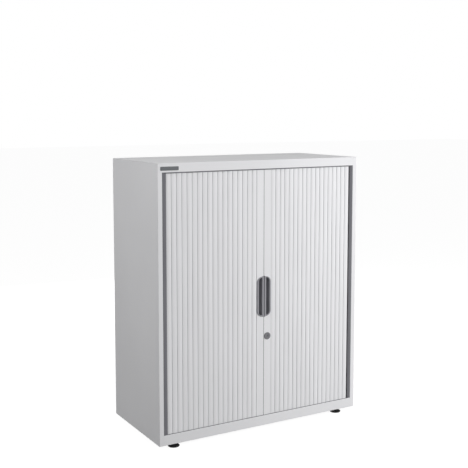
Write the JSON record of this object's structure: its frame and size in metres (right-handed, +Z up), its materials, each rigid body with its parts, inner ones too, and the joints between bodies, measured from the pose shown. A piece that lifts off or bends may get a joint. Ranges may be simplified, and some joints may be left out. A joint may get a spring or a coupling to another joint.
{
  "type": "tambour door cabinet",
  "caption": "Steel storage cabinet with upright slat curtains that slide sideways from the middle into pockets beside the shelves, with finger grips, a lock and levelling feet.",
  "frame": {"origin": "centre of the width and depth, on the floor under the feet", "axes": "+X to the right as seen from the front, the front faces -Y, +Z up"},
  "size_m": [1, 0.4632, 1.189],
  "materials": {
    "case_paint": "satin powder coat on folded steel sheet",
    "inner_paint": "satin powder coat on folded steel sheet",
    "slat_plastic": "extruded, soft satin",
    "track_plastic": "extruded, low friction",
    "seal_plastic": "extruded, flexible",
    "handle_plastic": "moulded, fine grain",
    "plate_plastic": "moulded, plain",
    "lock_metal": "satin nickel on die casting",
    "zinc_steel": "bright zinc plate",
    "foot_plastic": "moulded, black"
  },
  "bodies": {
    "case": {"left_side_panel": "case_paint", "right_side_panel": "case_paint", "back_panel": "case_paint", "top_panel": "case_paint", "base_panel": "case_paint", "floor_tray": "inner_paint", "ceiling_tray": "inner_paint", "left_liner": "inner_paint", "right_liner": "inner_paint", "left_bottom_track": "track_plastic", "left_top_track": "track_plastic", "right_bottom_track": "track_plastic", "right_top_track": "track_plastic", "lower_shelf": "inner_paint", "upper_shelf": "inner_paint", "lower_shelf_clip_left_front": "zinc_steel", "lower_shelf_clip_left_back": "zinc_steel", "lower_shelf_clip_right_front": "zinc_steel", "lower_shelf_clip_right_back": "zinc_steel", "upper_shelf_clip_left_front": "zinc_steel", "upper_shelf_clip_left_back": "zinc_steel", "upper_shelf_clip_right_front": "zinc_steel", "upper_shelf_clip_right_back": "zinc_steel", "left_seal_strip": "seal_plastic", "right_seal_strip": "seal_plastic", "blank_plate": "plate_plastic", "front_left_foot_bush": "zinc_steel", "front_right_foot_bush": "zinc_steel", "back_left_foot_bush": "zinc_steel", "back_right_foot_bush": "zinc_steel"},
    "left_door": {"left_lead_rail": "slat_plastic", "left_handle": "handle_plastic", "lock_keeper": "zinc_steel"},
    "right_door": {"right_lead_rail": "slat_plastic", "right_handle": "handle_plastic", "lock_housing": "lock_metal"},
    "lock_core": {"lock_plug": "lock_metal", "lock_hook": "zinc_steel"},
    "left_curtain": {"left_slats_1": "slat_plastic", "left_slats_2": "slat_plastic", "left_slats_3": "slat_plastic", "left_slats_4": "slat_plastic", "left_slats_5": "slat_plastic", "left_slats_6": "slat_plastic"},
    "right_curtain": {"right_slats_1": "slat_plastic", "right_slats_2": "slat_plastic", "right_slats_3": "slat_plastic", "right_slats_4": "slat_plastic", "right_slats_5": "slat_plastic", "right_slats_6": "slat_plastic"},
    "front_left_foot": {"front_left_foot_pad": "foot_plastic", "front_left_foot_stud": "zinc_steel"},
    "front_right_foot": {"front_right_foot_pad": "foot_plastic", "front_right_foot_stud": "zinc_steel"},
    "back_left_foot": {"back_left_foot_pad": "foot_plastic", "back_left_foot_stud": "zinc_steel"},
    "back_right_foot": {"back_right_foot_pad": "foot_plastic", "back_right_foot_stud": "zinc_steel"}
  },
  "joints": [
    {"name": "left_door_slide", "type": "slide", "parent": "case", "child": "left_door", "axis": [-1, 0, 0], "range_m": [0, 0.431]},
    {"name": "left_curtain_turn", "type": "hinge", "parent": "case", "child": "left_curtain", "pos_m": [-0.24855, 0.0156, 0.608], "axis": [0, 0, -1], "range_deg": [0, 90], "deforming": ["left_slats_1", "left_slats_2", "left_slats_3", "left_slats_4", "left_slats_5", "left_slats_6"]},
    {"name": "right_door_slide", "type": "slide", "parent": "case", "child": "right_door", "axis": [1, 0, 0], "range_m": [0, 0.4185]},
    {"name": "right_curtain_turn", "type": "hinge", "parent": "case", "child": "right_curtain", "pos_m": [0.24855, 0.0156, 0.608], "axis": [0, 0, 1], "range_deg": [0, 90], "deforming": ["right_slats_1", "right_slats_2", "right_slats_3", "right_slats_4", "right_slats_5", "right_slats_6"]},
    {"name": "lock_turn", "type": "hinge", "parent": "right_door", "child": "lock_core", "pos_m": [0.0238, -0.2144, 0.419], "axis": [0, 1, 0], "range_deg": [0, 90]},
    {"name": "front_left_foot_screw", "type": "slide", "parent": "case", "child": "front_left_foot", "axis": [0, 0, -1], "range_m": [-0.009, 0.012]},
    {"name": "front_right_foot_screw", "type": "slide", "parent": "case", "child": "front_right_foot", "axis": [0, 0, -1], "range_m": [-0.009, 0.012]},
    {"name": "back_left_foot_screw", "type": "slide", "parent": "case", "child": "back_left_foot", "axis": [0, 0, -1], "range_m": [-0.009, 0.012]},
    {"name": "back_right_foot_screw", "type": "slide", "parent": "case", "child": "back_right_foot", "axis": [0, 0, -1], "range_m": [-0.009, 0.012]}
  ],
  "couplings": [
    {"joint": "left_curtain_turn", "follows": "left_door_slide", "rad_per_m": 3.6445},
    {"joint": "right_curtain_turn", "follows": "right_door_slide", "rad_per_m": 3.7533}
  ]
}
